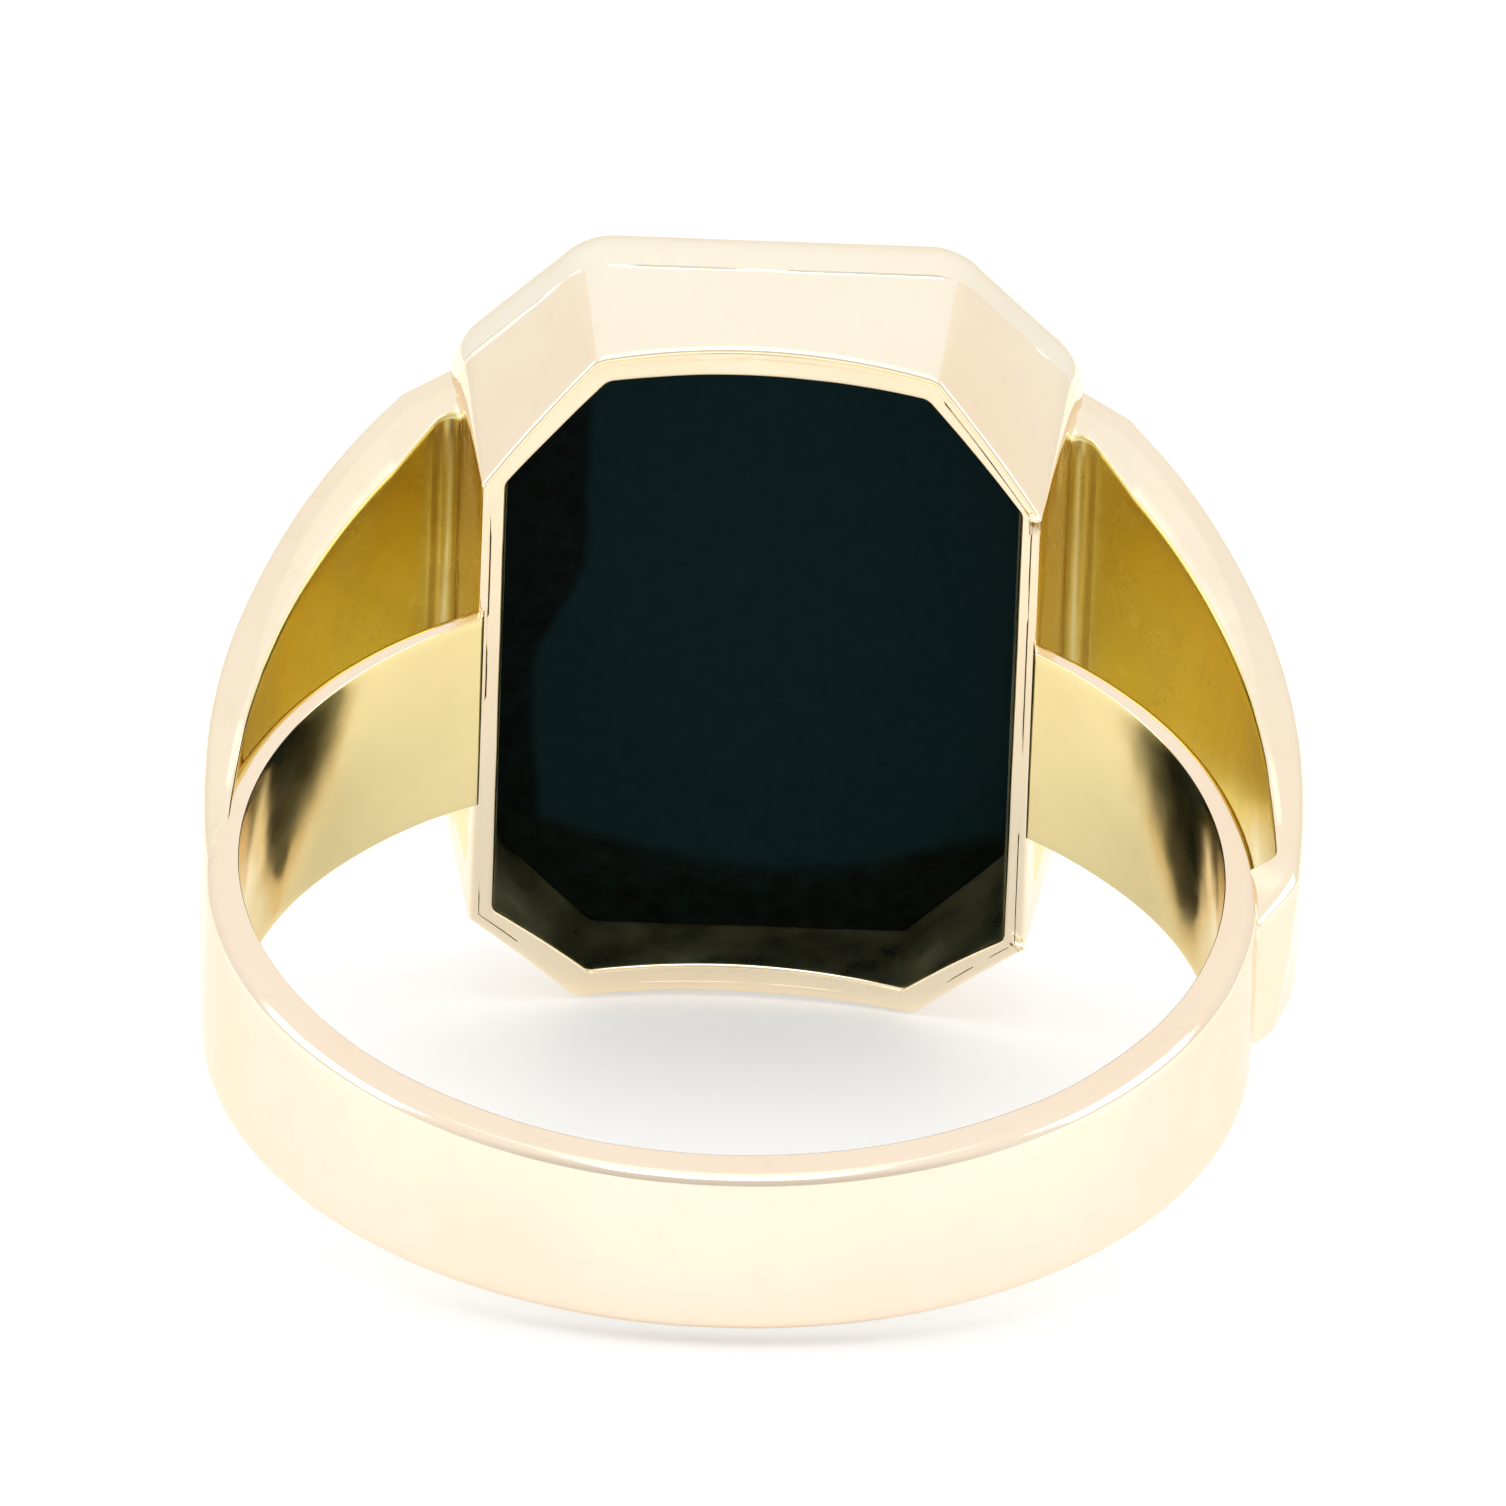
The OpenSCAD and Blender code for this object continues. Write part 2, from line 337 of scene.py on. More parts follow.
def onyx_mat():
    m, nt, b = new_mat("onyx_black")
    tc = nt.nodes.new("ShaderNodeTexCoord")
    # painted reflection: a lighter teal area with a wavy edge, bent by slow noise, stands in for what the stone's
    # polished back reflects
    big = noise_node(nt, 260.0, 1.0, 0.4)
    sep = nt.nodes.new("ShaderNodeSeparateXYZ")
    nt.links.new(tc.outputs["Object"], sep.inputs[0])
    bend = nt.nodes.new("ShaderNodeMapRange")
    bend.interpolation_type = "SMOOTHSTEP"
    bend.inputs["From Min"].default_value = 0.0052
    bend.inputs["From Max"].default_value = 0.0018
    bend.inputs["To Min"].default_value = 0.0
    bend.inputs["To Max"].default_value = 0.0009
    nt.links.new(sep.outputs["Z"], bend.inputs["Value"])
    sh = nt.nodes.new("ShaderNodeMath"); sh.operation = "ADD"
    nt.links.new(sep.outputs["X"], sh.inputs[0])
    nt.links.new(bend.outputs[0], sh.inputs[1])
    mul = nt.nodes.new("ShaderNodeMath"); mul.operation = "MULTIPLY_ADD"
    mul.inputs[1].default_value = 0.0008
    nt.links.new(big, mul.inputs[0])
    nt.links.new(sh.outputs[0], mul.inputs[2])
    rng = nt.nodes.new("ShaderNodeMapRange")
    rng.inputs["From Min"].default_value = -0.00295
    rng.inputs["From Max"].default_value = -0.00265
    rng.interpolation_type = "SMOOTHSTEP"
    nt.links.new(mul.outputs[0], rng.inputs["Value"])
    grain = noise_node(nt, 2600.0, 4.0, 0.6)
    base = mix_col(nt, rng.outputs[0], (0.0006, 0.0018, 0.0010), (0.0025, 0.0116, 0.0152))

    # the body of the stone darkens in an arc towards its lower end
    def calc(op, a, b):
        n = nt.nodes.new("ShaderNodeMath")
        n.operation = op
        for sock, val in ((n.inputs[0], a), (n.inputs[1], b)):
            if hasattr(val, "links"):
                nt.links.new(val, sock)
            else:
                sock.default_value = val
        return n.outputs[0]

    u = calc("MULTIPLY", calc("SUBTRACT", sep.outputs["X"], 0.0009), 1 / 0.0058)
    v = calc("MINIMUM", calc("MULTIPLY", calc("SUBTRACT", sep.outputs["Z"], 0.00198), 1 / 0.00453), 0.0)
    far = calc("ADD", calc("MULTIPLY", calc("MULTIPLY", u, u), calc("MULTIPLY", v, v)), calc("MULTIPLY", v, v))
    far = calc("ADD", far, calc("MULTIPLY", big, 0.15))
    arc = nt.nodes.new("ShaderNodeMapRange")
    arc.interpolation_type = "SMOOTHSTEP"
    arc.inputs["From Min"].default_value = 0.90
    arc.inputs["From Max"].default_value = 1.16
    nt.links.new(far, arc.inputs["Value"])
    base = mix_col(nt, arc.outputs[0], base, (0.0016, 0.0026, 0.0013))
    base = mix_col(nt, ramp(nt, grain, [(0.35, (0, 0, 0)), (0.75, (0.35, 0.35, 0.35))]), base, (0.006, 0.018, 0.020))
    nt.links.new(base, b.inputs["Base Color"])
    r = nt.nodes.new("ShaderNodeMapRange")
    r.inputs["To Min"].default_value = 0.10
    r.inputs["To Max"].default_value = 0.24
    nt.links.new(noise_node(nt, 700.0, 4.0, 0.6), r.inputs["Value"])
    nt.links.new(r.outputs[0], b.inputs["Roughness"])
    b.inputs["IOR"].default_value = 1.54
    b.inputs["Specular IOR Level"].default_value = 0.02
    bp = nt.nodes.new("ShaderNodeBump")
    bp.inputs["Strength"].default_value = 0.25
    bp.inputs["Distance"].default_value = 0.000004
    nt.links.new(noise_node(nt, 900.0, 5.0, 0.65), bp.inputs["Height"])
    nt.links.new(bp.outputs[0], b.inputs["Normal"])
    return m


ONYX = onyx_mat()

# ---------------------------------------------------------------- the band
def band_rho(th):
    return -BAND_C * math.sin(th) + math.sqrt(BAND_R**2 - (BAND_C * math.cos(th)) ** 2)


def make_band():
    n = 420
    end_l, end_r = SHIFT - 5.62, SHIFT + 5.62
    rings = []
    for i in range(n + 1):
        t = i / n
        # angle for the middle of the wall, used for the section's size
        tm = lerp(math.pi - math.acos(-end_l / 10.25), 2 * math.pi + math.acos(end_r / 10.25), t)
        ro = band_rho(tm)
        h = band_hw(10.3 * math.sin(tm)) - 0.01
        sec = rounded(
            [(FINGER_R, -h), (ro, -h), (ro, h), (FINGER_R, h)],
            [0.04, 0.30, 0.30, 0.04], [4, 8, 8, 4], [5, 22, 5, 22])
        pts = []
        for rho, z in sec:
            f = (rho - FINGER_R) / (ro - FINGER_R)
            rho -= 0.05 * f * (z / h) ** 2
            t0 = math.pi - math.acos(-end_l / rho)
            t1 = 2 * math.pi + math.acos(end_r / rho)
            th = lerp(t0, t1, t)
            pts.append((rho * math.cos(th), rho * math.sin(th), z))
        rings.append(np.array(pts))
    V, F = loft(rings)

    def which(c, nn):
        rr = math.hypot(c[0], c[1])
        outward = (c[0] * nn[0] + c[1] * nn[1]) / rr
        # painted shade: the band's outer face near the head, inside the hollows, takes the darker hollow gold
        if outward > 0.8 and c[1] > 0.8:
            return 1
        # painted reflection: the band's inner face takes the saturated yellow gold
        if outward < -0.8:
            return 2
        return 0

    ob = build("band_visual", V, F, [GOLD_BAND, GOLD_HOLLOW_SHADE, GOLD_INNER_REFLECTION], which, hand=0.012, hand_scale=0.45, seed=3.0)
    return ob


# ---------------------------------------------------------------- shoulders
def sh_out(a):
    return 11.17 + 0.0068 * max(a, 0.0) ** 1.575


def sh_in(a):
    return 10.65 + 0.00095 * max(a, 0.0) ** 1.98


def sh_half(y):
    return SH_HW + (SH_FLARE if y > 2 else 0.08) * (y - 2)


def polar(r, a):
    a = math.radians(a)
    return np.array([r * math.cos(a), r * math.sin(a)])


def wall_x(y):
    return WALL_W0 + (WALL_W1 - WALL_W0) * (y - 8.4) / (WALL_Y1 - 8.4)


def fillet_centre(r):
    """Centre of the solder fillet between a shoulder's inner face and the
    side wall of the head, and the angle where it leaves the inner face."""
    lo, hi = 40.0, 66.0
    k = math.hypot(1, (WALL_W1 - WALL_W0) / (WALL_Y1 - 8.4))

    def gap(a):
        p, q = polar(sh_in(a), a), polar(sh_in(a + 0.01), a + 0.01)
        t = (q - p) / np.linalg.norm(q - p)
        nrm = np.array([-t[1], t[0]])
        c = p + nrm * r
        return (c[0] - wall_x(c[1])) / k - r, c

    for _ in range(60):
        mid = (lo + hi) / 2
        if gap(mid)[0] > 0:
            lo = mid
        else:
            hi = mid
    return gap(lo)[1], lo


def shoulder_paths(right, r):
    """Outer and inner outline of a shoulder, in x and y from the middle of
    the head, as if on the right."""
    c, a1 = fillet_centre(r)
    inner, outer, kinds = [], [], []
    sgn = 1 if right else -1
    end = 3.0 if right else 3.2

    def in_band(q, depth):
        x, y = SHIFT + sgn * q[0], q[1]
        th = math.atan2(y, x)
        r = band_rho(th) - depth
        return np.array([(r * math.cos(th) - SHIFT) * sgn, r * math.sin(th)])

    def out_at(a):
        if right:
            return lerp(10.42, sh_out(a), smooth(-5.0, 4.0, a))
        return lerp(11.075, sh_out(a), smooth(-7.0, 5.0, a))

    # the solid tail, sunk into the band
    tail0 = -4.2
    for i in range(30):
        a = lerp(tail0, end, i / 29)
        q = polar(out_at(a), a)
        inner.append(in_band(q, 0.25))
        outer.append(q)
        kinds.append(a)
    # a short rounded ramp up to the inner face
    nr = 12
    ramp_deg = 3.6 if right else 3.0
    for i in range(1, nr + 1):
        f = i / nr
        a = lerp(end, end + ramp_deg, f)
        q = polar(out_at(a), a)
        p0 = in_band(q, 0.25)
        g = math.sin(f * math.pi / 2) ** 1.3
        inner.append(lerp(p0, polar(sh_in(end + ramp_deg), a), g))
        outer.append(q)
        kinds.append(a)
    n = 110
    amax = 66.0
    for i in range(1, n + 1):
        a = lerp(end + ramp_deg, a1, i / n)
        inner.append(polar(sh_in(a), a))
        ao = lerp(end + ramp_deg, amax, (i / n) ** 1.02)
        outer.append(polar(sh_out(ao), ao))
        kinds.append(a)
    # round the fillet and down the wall
    p = polar(sh_in(a1), a1) - c
    th0 = math.atan2(p[1], p[0])
    wn = np.array([-1.0, (WALL_W1 - WALL_W0) / (WALL_Y1 - 8.4)])
    wn /= np.linalg.norm(wn)
    th1 = math.atan2(wn[1], wn[0])
    if th1 < th0:
        th1 += 2 * math.pi
    m = 16
    for i in range(1, m + 1):
        th = lerp(th0, th1, i / m)
        inner.append(c + r * np.array([math.cos(th), math.sin(th)]))
        ao = lerp(amax, 68.0, i / m)
        outer.append(polar(sh_out(ao), ao))
        kinds.append(a1)
    # the end is sunk into the wall
    inner.append(c + (r + 0.08) * wn)
    outer.append(outer[-1].copy())
    kinds.append(a1)
    return inner, outer, kinds


def make_shoulder(name, right):
    inner, outer, kinds = shoulder_paths(right, 0.27)
    rings = []

    def near_head(x):
        return min(max((7.62 - x) / 1.22, 0.0), 1.0)

    for p, q, a in zip(inner, outer, kinds):
        for _ in range(3):
            y_max = RIM_Y1 - 0.72 + 0.48 * near_head(q[0])
            if q[1] > y_max:
                q = q + (p - q) * ((q[1] - y_max) / max(q[1] - p[1], 1e-6))
        d = q - p
        ln = np.linalg.norm(d)
        hq = sh_half(q[1]) - 0.01
        land = min(0.20, 0.08 + max(a, 0) * 0.01)
        land = min(max(land, ln - 1.0), 0.8 * ln)
        crown = min(lerp(0.07, 0.16, smooth(20, 48, a)), 0.3 * ln)
        b = lerp(0.15, 0.40, smooth(8, 30, a)) - 0.22 * smooth(36, 58, a)
        sec = rounded(
            [(0, -hq), (land, -hq), (ln - crown, b - hq), (ln, 0), (ln - crown, hq - b), (land, hq), (0, hq)],
            [0.12, 0.10, 0.28, 3.0, 0.28, 0.10, 0.12],
            [4, 5, 7, 14, 7, 5, 4], [3, 5, 6, 6, 5, 3, 20])
        pts = []
        for sd, z in sec:
            f = sd / ln
            w = p + d * f
            blend = smooth(3.0, 20.0, a)
            low = band_hw(w[1]) - 0.012 - (0.42 if right else 0.12) * (1 - smooth(-4.4, 5.0, a))
            z *= (lerp(low, sh_half(w[1]) - 0.01, blend) + 0.38 * near_head(w[0])) / hq
            if right:
                # the tail is filed thinner towards the table
                k = 1 - smooth(1.0, 15.0, a)
                cut = k * 0.125 * max(hq - 0.6 - z, 0.0)
                rr = math.hypot(w[0], w[1])
                w = w * (1 - cut * max(min(f, 1.0), 0.0) / rr)
            pts.append((SHIFT + (w[0] if right else -w[0]), w[1], z))
        rings.append(np.array(pts))
    V, F = loft(rings)
    sgn = 1 if right else -1

    def which(c, nn):
        x, y = (c[0] - SHIFT) * sgn, c[1]
        r = math.hypot(x, y)
        inward = -(x * sgn * nn[0] * sgn + y * nn[1]) / r
        a = math.degrees(math.atan2(y, x))
        # painted shade: the inner faces in the hollows take the darker hollow gold, and the crease and the hollow's
        # low end the solder gold, darkened as painted shade
        if a > 3 and abs(nn[2]) < 0.8 and r < (sh_in(a) + 0.12 if a > HOLLOW_END else 10.7):
            return 2 if a > a_crease - 0.7 or a < 7.5 else 1
        return 0

    a_crease = math.degrees(math.atan2(inner[-18][1], inner[-18][0]))
    return build(name, V, F, [GOLD, GOLD_HOLLOW_SHADE, GOLD_SOLDER_AND_SHADE], which, hand=0.012, hand_scale=0.5, seed=5.0 if right else 9.0)


# ---------------------------------------------------------------- the head
def columns(A, B, ya, yb):
    """Point of every column at its own station y (an array)."""
    def at(y):
        t = ((y - ya) / (yb - ya))[:, None]
        return A + (B - A) * t
    return at


def saddle_y(at, m):
    y = np.full(m, 9.0)
    for _ in range(40):
        x = at(y)[:, 0] + SHIFT
        y = np.sqrt(SADDLE_R**2 - x**2)
    return y


def sheet_ring(outline, t_of, y_front, ya, yb, r_out, r_in, n_long):
    """A ring of sheet metal round the head. outline(u, y) gives the outline
    for u = 0 outside to 1 inside; its back edge follows the finger."""
    m = len(outline(0.0, ya))
    thick = t_of(m)

    def col(u):
        return columns(outline(u, ya), outline(u, yb), ya, yb)

    prof = []
    na = 4
    def section(u, e=None, t=None, r=0.0):
        at = col(u)
        ys = saddle_y(at, m)
        y = ys + e if t is None else lerp(ys + r, y_front, t)
        xz = at(y)
        return np.stack([xz[:, 0] + SHIFT, y, xz[:, 1]], 1)

    u0, u1 = r_out / thick, r_in / thick
    for t in [1.0, 0.9985] + [1 - i / n_long for i in range(1, n_long + 1)]:
        prof.append(section(0.0, t=t, r=r_out))
    for i in range(1, na + 1):
        f = i / na * math.pi / 2
        prof.append(section(u0 * (1 - math.cos(f)), e=r_out * (1 - math.sin(f))))
    for i in range(1, 4):
        prof.append(section(lerp(u0, 1 - u1, i / 4), e=0.0))
    for i in range(na, -1, -1):
        f = i / na * math.pi / 2
        prof.append(section(1 - u1 * (1 - math.cos(f)), e=r_in * (1 - math.sin(f))))
    for i in range(1, n_long + 1):
        prof.append(section(1.0, t=i / n_long, r=r_in))
    for i in range(1, 3):
        prof.append(section(1 - i / 3, t=1.0))
    return prof


def wall_whc(y, d):
    t = (y - 8.4) / (WALL_Y1 - 8.4)
    return (lerp(WALL_W0, WALL_W1, t) - d, lerp(WALL_H0, WALL_H1, t) - d, lerp(2.35, 2.55, t) - d * 0.586)


def wall_corner(y, d):
    return max(lerp(0.16, 1.35, (y - WALL_YA) / (WALL_Y1 - WALL_YA)) - d, 0.05)


NA, NS = 9, (26, 14)
WALL_YA = 8.9


def make_wall():
    def outline(u, y):
        d = u * WALL_T
        return octagon(*wall_whc(y, d), wall_corner(y, d), NA, NS)
    prof = sheet_ring(outline, lambda m: WALL_T, WALL_Y1 + 0.004, WALL_YA, WALL_Y1, 0.10, 0.008, 26)
    V, F = loft(prof, close=True)

    def which(c, nn):
        # painted light: the back edge and the faces along the finger take the brighter edge gold
        if nn[1] < -0.5 or math.hypot(c[0], c[1]) < SADDLE_R + 0.015:
            return 3
        # the sides that close the hollows behind the shoulders: painted reflection, a saturated amber gold standing in
        # for the gold faces reflected there
        if abs(c[0] - SHIFT) > 5.6 and abs(nn[0]) > 0.9 and abs(c[2]) < sh_half(c[1]) + 0.35 and abs(c[2]) < 5.0:
            if (c[0] - SHIFT) * nn[0] > 0 and c[1] > 9.2:
                return 1
        # painted highlight: the two end facets take the paler rim gold, standing in for the bright light they reflect
        if abs(nn[2]) > 0.9 and abs(c[2]) > 7.3 and nn[2] * c[2] > 0:
            return 2
        return 0

    return build("head_wall_visual", V, F, [GOLD_WALL, GOLD_SIDE_REFLECTION, GOLD_RIM_HIGHLIGHT, GOLD_EDGE_LIGHT], which, hand=0.013, hand_scale=0.55, seed=11.0)


def make_seat():
    def outline(u, y):
        o = octagon(*wall_whc(y, WALL_T - 0.08), wall_corner(y, WALL_T - 0.06), NA, NS)
        i = octagon(OPEN_W, OPEN_H, OPEN_CUT, 0.30, NA, NS)
        return lerp(o, i, u)
    prof = sheet_ring(outline, lambda m: 0.32, STONE_Y0, WALL_YA, STONE_Y0, 0.008, 0.09, 22)
    V, F = loft(prof, close=True)
    V[:, 1] -= 0.001

    def which(c, nn):
        # painted shade: the seat takes the dark seat gold; its back edge takes the brighter edge gold as painted light
        return 1 if nn[1] < -0.5 or math.hypot(c[0], c[1]) < SADDLE_R + 0.05 else 0

    return build("stone_seat_visual", V, F, [GOLD_SEAT_SHADE, GOLD_EDGE_LIGHT], which,
                 hand=0.013, hand_scale=0.55, seed=11.0)


def make_rim():
    # station, half width, half height, cut, corner radius
    P = [
        (12.70, 5.75, 7.65, 2.60, 0.9), (12.76, 6.10, 8.02, 2.58, 1.1), (12.79, 6.30, 8.22, 2.56, 1.2),
        (12.795, 6.357, 8.278, 2.55, 1.33), (12.800, 6.3582, 8.2787, 2.55, 1.33), (12.84, 6.366, 8.285, 2.555, 1.35),
        (12.89, 6.378, 8.2925, 2.562, 1.35), (12.95, 6.394, 8.301, 2.572, 1.35), (13.02, 6.414, 8.311, 2.584, 1.36),
        (13.10, 6.438, 8.322, 2.599, 1.38), (13.20, 6.463, 8.334, 2.619, 1.40), (13.34, 6.486, 8.347, 2.638, 1.40),
        (13.48, 6.494, 8.352, 2.641, 1.40), (13.60, 6.48, 8.346, 2.636, 1.40), (13.74, 6.45, 8.322, 2.622, 1.40),
        (13.88, 6.40, 8.277, 2.587, 1.38), (14.00, 6.335, 8.22, 2.55, 1.36), (14.10, 6.255, 8.148, 2.51, 1.32),
        (14.19, 6.16, 8.062, 2.46, 1.28),
        (14.26, 6.05, 7.97, 2.40, 1.22), (14.31, 5.93, 7.86, 2.37, 1.15), (14.335, 5.80, 7.73, 2.36, 1.1),
        (14.345, 5.66, 7.58, 2.38, 1.0), (14.34, 5.52, 7.43, 2.40, 0.9), (14.31, 5.40, 7.30, 2.41, 0.8),
        (14.26, 5.32, 7.22, 2.42, 0.7), (14.20, 5.29, 7.19, 2.43, 0.7), (14.10, 5.33, 7.23, 2.45, 0.65),
        (13.90, 5.50, 7.40, 2.52, 0.6), (13.70, 5.69, 7.59, 2.60, 0.55), (13.2, 5.70, 7.60, 2.60, 0.5),
    ]
    prof = []
    for y, w, h, c, r in P:
        o = octagon(w, h, c, r, 12, NS)
        prof.append(np.stack([o[:, 0] + SHIFT, np.full(len(o), y), o[:, 1]], 1))
    V, F = loft(prof, close=True)
    # painted highlight: the whole rim takes the paler rim gold
    ob = build("rim_visual", V, F, [GOLD_RIM_HIGHLIGHT], hand=0.013, hand_scale=0.55, seed=11.0)
    return ob


def make_stone():
    rings = []

    def ring(y, w, h, c, r, k=1.0):
        o = octagon(w, h, c, r, 6, NS) * k
        rings.append(np.stack([o[:, 0] + SHIFT, np.full(len(o), y), o[:, 1]], 1))

    y0 = STONE_Y0 + 0.004
    ks = [0.02, 0.1, 0.2, 0.3, 0.4, 0.5, 0.6, 0.7, 0.8, 0.88, 0.94, 0.98]
    for k in ks:
        ring(y0, STONE_W - 0.06, STONE_H - 0.06, STONE_CUT, 0.3, k)
    ring(y0, STONE_W - 0.05, STONE_H - 0.05, STONE_CUT, 0.3)
    ring(y0 + 0.015, STONE_W - 0.02, STONE_H - 0.02, STONE_CUT, 0.3)
    ring(y0 + 0.05, STONE_W - 0.005, STONE_H - 0.005, STONE_CUT, 0.3)
    ring(12.7, STONE_W - 0.005, STONE_H - 0.005, STONE_CUT, 0.3)
    ring(13.65, STONE_W - 0.005, STONE_H - 0.005, STONE_CUT, 0.3)
    ring(13.70, STONE_W - 0.012, STONE_H - 0.012, STONE_CUT, 0.3)
    ring(13.75, STONE_W - 0.04, STONE_H - 0.04, STONE_CUT, 0.3)
    for t in (0.25, 0.5, 0.75, 0.93):
        ring(lerp(13.7, STONE_Y1, t), STONE_W - 0.75 * t - 0.003, STONE_H - 0.75 * t - 0.003, STONE_CUT - 0.3 * t, 0.3)
    ring(STONE_Y1 - 0.025, STONE_W - 0.745, STONE_H - 0.745, STONE_CUT - 0.29, 0.3)
    ring(STONE_Y1 - 0.006, STONE_W - 0.79, STONE_H - 0.79, STONE_CUT - 0.3, 0.3)
    for k in (1.0, 0.96, 0.9, 0.8, 0.7, 0.6, 0.5, 0.4, 0.3, 0.2, 0.1, 0.02):
        ring(STONE_Y1 - 0.002, STONE_W - 0.83, STONE_H - 0.83, STONE_CUT - 0.31, 0.3, k)
    V, F = loft(rings)
    return build("onyx_visual", V, F, [ONYX])


pieces = [
    (make_band(), "shank_band", "gold"),
    (make_shoulder("shoulder_left_visual", False), "shoulder_left", "gold"),
    (make_shoulder("shoulder_right_visual", True), "shoulder_right", "gold"),
    (make_wall(), "bezel_wall", "gold"),
    (make_seat(), "stone_seat", "gold_inside"),
    (make_rim(), "bezel_rim", "gold"),
    (make_stone(), "onyx_tablet", "onyx"),
]
for ob, node, slot in pieces:
    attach(ob, "root")
    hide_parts(node)

# ---------------------------------------------------------------- the floor
def floor_mat():
    m, nt, b = new_mat("white_table")
    n = noise_node(nt, 60.0, 4.0, 0.6)
    nt.links.new(ramp(nt, n, [(0.3, (0.69, 0.69, 0.70)), (0.7, (0.71, 0.71, 0.72))]), b.inputs["Base Color"])
    b.inputs["Emission Color"].default_value = (0.965, 0.985, 1.02, 1)
    b.inputs["Emission Strength"].default_value = 0.345
    b.inputs["Roughness"].default_value = 0.45
    b.inputs["Specular IOR Level"].default_value = 0.25
    bp = nt.nodes.new("ShaderNodeBump")
    bp.inputs["Strength"].default_value = 0.05
    bp.inputs["Distance"].default_value = 0.00002
    nt.links.new(noise_node(nt, 2500.0, 3.0, 0.6), bp.inputs["Height"])
    nt.links.new(bp.outputs[0], b.inputs["Normal"])
    return m


def make_floor():
    z = cad_lo.z - 0.00002
    bm = bmesh.new()
    n = 64
    prof = [(0.0, 0.0), (0.05, 0.0), (0.15, 0.0), (0.4, 0.0), (0.9, 0.0)]
    vs = []
    for r, h in prof[1:]:
        vs.append([bm.verts.new((r * math.cos(2 * math.pi * i / n), r * math.sin(2 * math.pi * i / n), z + h)) for i in range(n)])
    c = bm.verts.new((0, 0, z))
    for i in range(n):
        bm.faces.new((c, vs[0][i], vs[0][(i + 1) % n]))
        for a, b in zip(vs[:-1], vs[1:]):
            bm.faces.new((a[i], b[i], b[(i + 1) % n], a[(i + 1) % n]))
    bmesh.ops.recalc_face_normals(bm, faces=bm.faces)
    me = bpy.data.meshes.new("floor")
    bm.to_mesh(me)
    bm.free()
    me.materials.append(floor_mat())
    ob = bpy.data.objects.new("floor", me)
    bpy.context.scene.collection.objects.link(ob)
    if me.polygons[0].normal.z < 0:
        me.flip_normals()
    return ob


make_floor()

# ---------------------------------------------------------------- lights
world = bpy.data.worlds.new("studio")
bpy.context.scene.world = world
world.use_nodes = True
wn = world.node_tree
wn.nodes.clear()
wout = wn.nodes.new("ShaderNodeOutputWorld")
bg = wn.nodes.new("ShaderNodeBackground")
wn.links.new(bg.outputs[0], wout.inputs[0])
wtc = wn.nodes.new("ShaderNodeTexCoord")
wsep = wn.nodes.new("ShaderNodeSeparateXYZ")
wn.links.new(wtc.outputs["Generated"], wsep.inputs[0])
# a white tent: brightest overhead, and open and darker on the near side
up = wn.nodes.new("ShaderNodeMapRange")
up.inputs["From Min"].default_value = -0.1
up.inputs["From Max"].default_value = 0.9
up.inputs["To Min"].default_value = 0.90
up.inputs["To Max"].default_value = 1.03
wn.links.new(wsep.outputs["Z"], up.inputs["Value"])
near = wn.nodes.new("ShaderNodeMapRange")
near.interpolation_type = "SMOOTHSTEP"
near.inputs["From Min"].default_value = -0.95
near.inputs["From Max"].default_value = -0.45
near.inputs["To Min"].default_value = 0.74
near.inputs["To Max"].default_value = 1.0
wn.links.new(wsep.outputs["Y"], near.inputs["Value"])
cap = wn.nodes.new("ShaderNodeMapRange")
cap.interpolation_type = "SMOOTHSTEP"
cap.inputs["From Min"].default_value = 0.94
cap.inputs["From Max"].default_value = 0.985
cap.inputs["To Min"].default_value = 0.0
cap.inputs["To Max"].default_value = 0.28
wn.links.new(wsep.outputs["Z"], cap.inputs["Value"])
both = wn.nodes.new("ShaderNodeMath"); both.operation = "ADD"
wn.links.new(up.outputs[0], both.inputs[0])
wn.links.new(cap.outputs[0], both.inputs[1])
mul = wn.nodes.new("ShaderNodeMath"); mul.operation = "MULTIPLY"
wn.links.new(both.outputs[0], mul.inputs[0])
wn.links.new(near.outputs[0], mul.inputs[1])
wn.links.new(mul.outputs[0], bg.inputs["Strength"])
bg.inputs["Color"].default_value = (1.0, 0.995, 0.985, 1)


def area(name, loc, target, size, power, colour=(1, 1, 1)):
    l = bpy.data.lights.new(name, "AREA")
    l.shape = "RECTANGLE"
    l.size, l.size_y = size
    l.energy = power
    l.color = colour
    ob = bpy.data.objects.new(name, l)
    ob.location = loc
    d = Vector(target) - Vector(loc)
    ob.rotation_euler = d.to_track_quat("-Z", "Y").to_euler()
    bpy.context.scene.collection.objects.link(ob)
    return ob


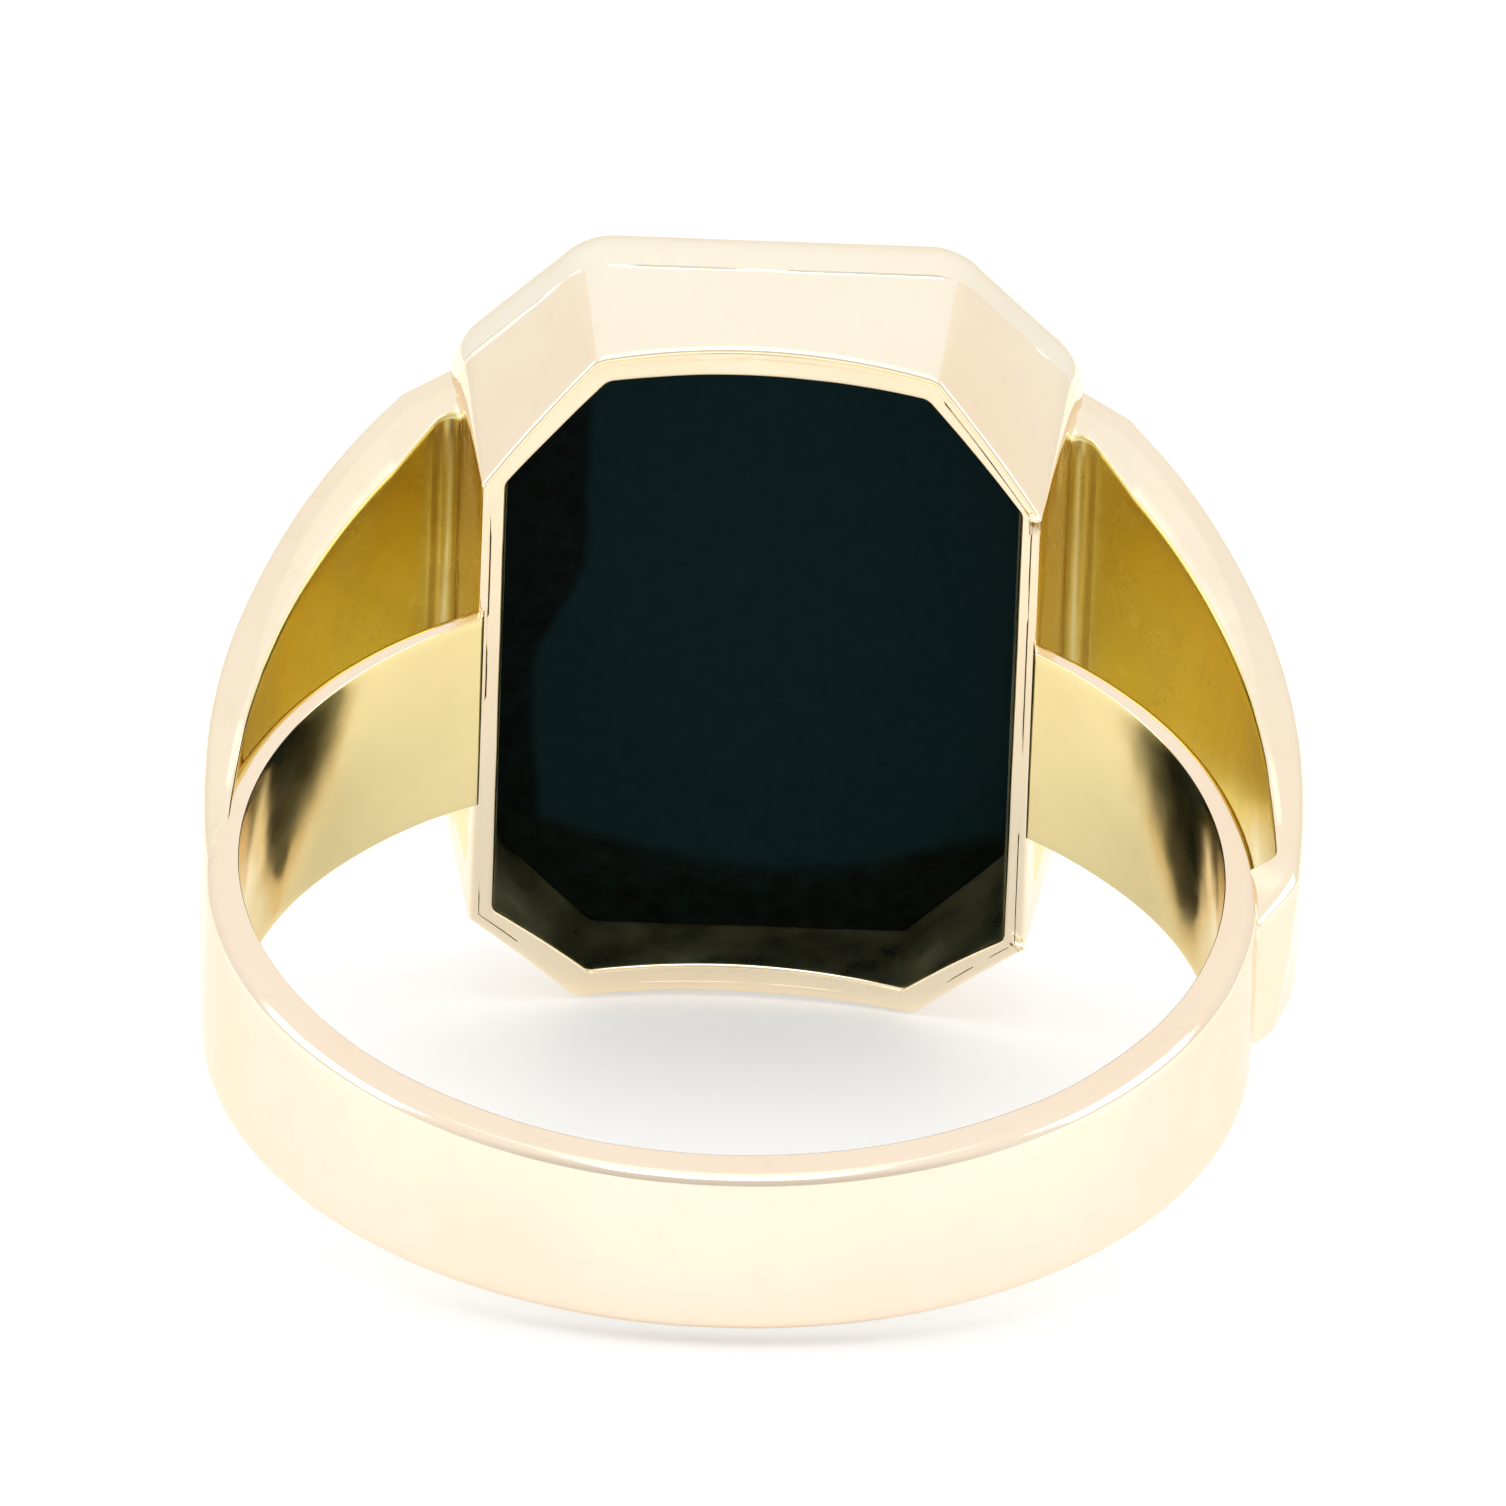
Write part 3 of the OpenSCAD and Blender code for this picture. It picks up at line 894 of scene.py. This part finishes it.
area("overhead_softbox", (0.0, -0.30, 0.50), (0, 0, 0), (0.34, 0.30), 0.55)
area("side_softbox_left", (-0.5, -0.05, 0.28), (0, 0, 0), (0.35, 0.35), 0.62)
area("side_softbox_right", (0.5, -0.02, 0.28), (0, 0, 0), (0.35, 0.35), 0.60)

# ---------------------------------------------------------------- camera
EL, AZ, ROLL = math.radians(33.958), math.radians(-0.1948), math.radians(2.1229)
DIST = 769.87
PX_PER_MM = 49.2278
PRINC = (728.90 - 753.0, 953.19 - 753.0)  # the hole's centre from the picture's centre, px
toward = np.array([math.sin(AZ) * math.cos(EL), -math.cos(AZ) * math.cos(EL), math.sin(EL)])
right0 = np.cross([0, 0, 1], toward); right0 /= np.linalg.norm(right0)
up0 = np.cross(toward, right0)
right = right0 * math.cos(ROLL) + up0 * math.sin(ROLL)
upv = np.cross(toward, right)
F_PX = PX_PER_MM * DIST
# turn the camera slightly so that the hole's centre falls off the picture's centre
wy = -PRINC[0] / F_PX
wx = PRINC[1] / F_PX
fwd = -(toward) - right * (PRINC[0] / F_PX) + upv * (PRINC[1] / F_PX)
fwd /= np.linalg.norm(fwd)
back = -fwd
r2 = right - back * (right @ back); r2 /= np.linalg.norm(r2)
u2 = np.cross(back, r2)
R = ROT @ np.stack([r2, u2, back], 1)
loc = ROT @ (toward * DIST) * MM
cam_data = bpy.data.cameras.new("camera")
cam_data.sensor_width = 36.0
cam_data.lens = 36.0 * F_PX / 1506.0
cam_data.clip_start = 0.05
cam_data.clip_end = 20.0
cam = bpy.data.objects.new("camera", cam_data)
bpy.context.scene.collection.objects.link(cam)
cam.matrix_world = Matrix([[R[0][0], R[0][1], R[0][2], loc[0]], [R[1][0], R[1][1], R[1][2], loc[1]],
                           [R[2][0], R[2][1], R[2][2], loc[2]], [0, 0, 0, 1]])
bpy.context.scene.camera = cam
bpy.context.scene.view_settings.view_transform = "Standard"
bpy.context.scene.view_settings.look = "None"
bpy.context.scene.view_settings.exposure = 0.0
bpy.context.scene.cycles.max_bounces = 16
bpy.context.scene.cycles.glossy_bounces = 12
bpy.context.scene.cycles.diffuse_bounces = 4
